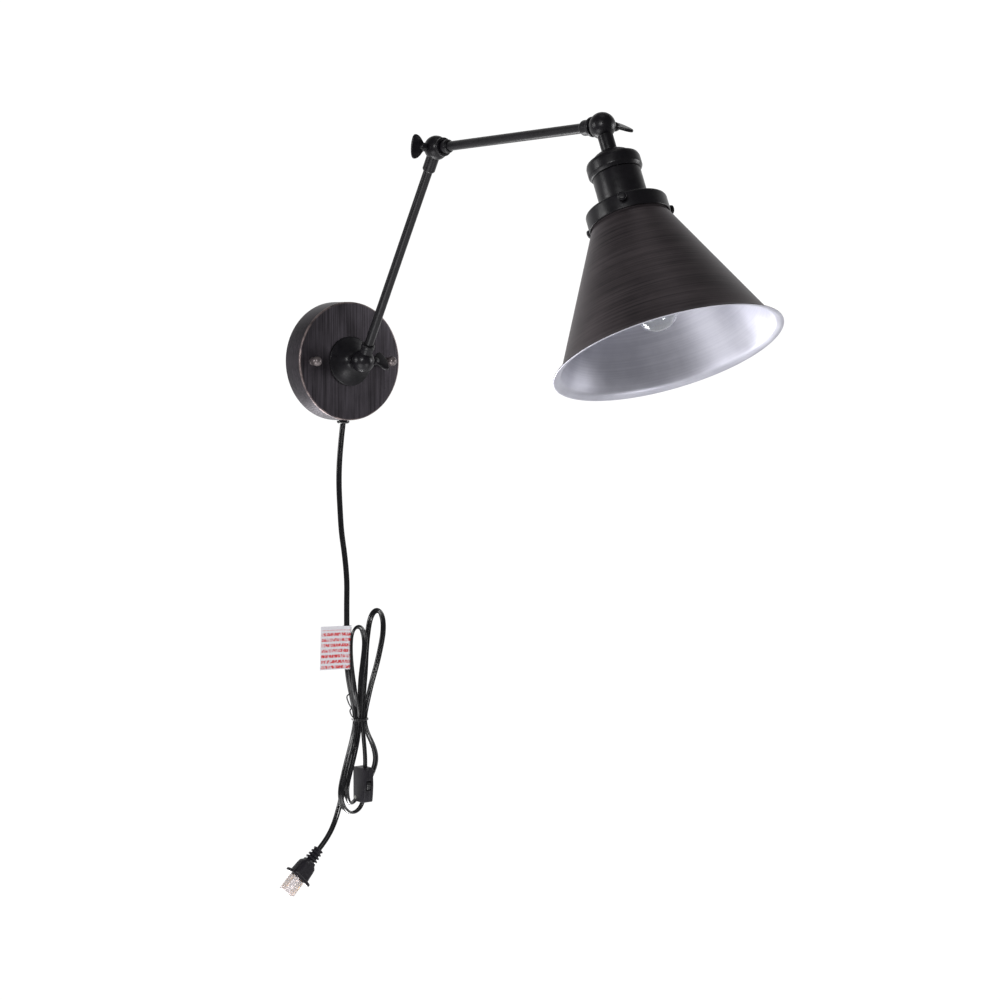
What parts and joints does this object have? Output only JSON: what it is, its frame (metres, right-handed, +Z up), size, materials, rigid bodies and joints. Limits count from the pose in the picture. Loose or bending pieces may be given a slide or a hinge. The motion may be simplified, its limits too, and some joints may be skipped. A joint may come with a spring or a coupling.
{
  "type": "swing arm wall sconce",
  "caption": "Plug-in wall lamp with a round canopy, two straight arms on lockable ball knuckles, and a flared metal cone shade.",
  "frame": {"origin": "centre of the wall face, on the back of the wall bracket", "axes": "+Y into the wall, +Z up, the arms reach towards -Y"},
  "size_m": [0.1988, 0.6012, 0.7579],
  "materials": {
    "black_metal": "satin black",
    "gunmetal": "brushed, darkened",
    "shade_metal": "dark brushed outside, satin silver inside",
    "zinc_steel": "zinc plated",
    "brass": "bright",
    "porcelain": "glazed",
    "nut_plastic": "matte",
    "glass": "clear",
    "filament": "fine wire",
    "vinyl": "soft black vinyl",
    "tag_paper": "coated white with red bars",
    "clear_plastic": "clear, slightly milky"
  },
  "bodies": {
    "wall_side": {"wall_bracket": "zinc_steel", "bracket_stud_left": "zinc_steel", "bracket_stud_right": "zinc_steel", "cap_nut_left": "gunmetal", "cap_nut_right": "gunmetal", "canopy": "gunmetal", "base_cone": "black_metal", "cord_bushing": "vinyl", "live_lead": "vinyl", "neutral_lead": "vinyl", "wire_nut_live": "nut_plastic", "wire_nut_neutral": "nut_plastic", "cord_drop": "vinyl", "cord_hank": "vinyl", "cord_tail": "vinyl", "cord_tie": "vinyl", "cord_tag": "tag_paper", "switch_case_left": "vinyl", "switch_case_right": "vinyl", "switch_rivet": "zinc_steel", "plug_body": "vinyl", "plug_blade_left": "brass", "plug_blade_right": "brass", "blade_cover": "clear_plastic"},
    "base_swivel": {"swivel_nipple": "zinc_steel", "swivel_washer": "zinc_steel", "swivel_nut": "zinc_steel", "base_knuckle": "black_metal"},
    "lower_arm": {"lower_arm_base_knuckle": "black_metal", "lower_arm_tube": "black_metal", "lower_arm_wire": "vinyl", "lower_arm_elbow_knuckle": "black_metal"},
    "upper_arm": {"upper_arm_elbow_knuckle": "black_metal", "elbow_lock_ring": "black_metal", "upper_arm_tube": "black_metal", "upper_arm_wire": "vinyl", "head_lock_ring": "black_metal", "upper_arm_head_knuckle": "black_metal"},
    "head": {"head_knuckle": "black_metal", "socket_cap": "black_metal", "socket_cup": "black_metal", "lampholder": "porcelain", "screw_shell": "brass", "centre_contact": "brass", "fitter_ring": "black_metal", "shade_screw_1": "black_metal", "shade_screw_2": "black_metal", "shade_screw_3": "black_metal", "shade": "shade_metal", "bulb_glass": "glass", "bulb_base": "brass", "bulb_contact": "brass", "bulb_stem": "glass", "bulb_filament": "filament"},
    "base_screw": {"base_wing_screw": "black_metal"},
    "elbow_screw": {"elbow_wing_screw": "black_metal"},
    "head_screw": {"head_wing_screw": "black_metal"},
    "thumb_wheel": {"switch_wheel": "vinyl"}
  },
  "joints": [
    {"name": "base_swivel", "type": "hinge", "parent": "wall_side", "child": "base_swivel", "pos_m": [0, 0, 0], "axis": [0, 1, 0], "range_deg": [-90, 90]},
    {"name": "lower_arm_tilt", "type": "hinge", "parent": "base_swivel", "child": "lower_arm", "pos_m": [0, -0.05, 0], "axis": [-1, 0, 0], "range_deg": [-73, 32]},
    {"name": "elbow_tilt", "type": "hinge", "parent": "lower_arm", "child": "upper_arm", "pos_m": [0, -0.17744, 0.20277], "axis": [1, 0, 0], "range_deg": [-100, 45]},
    {"name": "head_tilt", "type": "hinge", "parent": "upper_arm", "child": "head", "pos_m": [0, -0.42344, 0.20277], "axis": [1, 0, 0], "range_deg": [-90, 35]},
    {"name": "base_screw_turn", "type": "hinge", "parent": "base_swivel", "child": "base_screw", "pos_m": [0, -0.05, 0], "axis": [1, 0, 0], "range_deg": [0, 360]},
    {"name": "elbow_screw_turn", "type": "hinge", "parent": "upper_arm", "child": "elbow_screw", "pos_m": [0, -0.17744, 0.20277], "axis": [-1, 0, 0], "range_deg": [0, 360]},
    {"name": "head_screw_turn", "type": "hinge", "parent": "upper_arm", "child": "head_screw", "pos_m": [0, -0.42344, 0.20277], "axis": [1, 0, 0], "range_deg": [0, 360]},
    {"name": "switch_wheel_turn", "type": "hinge", "parent": "wall_side", "child": "thumb_wheel", "pos_m": [0.0185, -0.0227, -0.437], "axis": [1, 0, 0], "continuous": true}
  ]
}
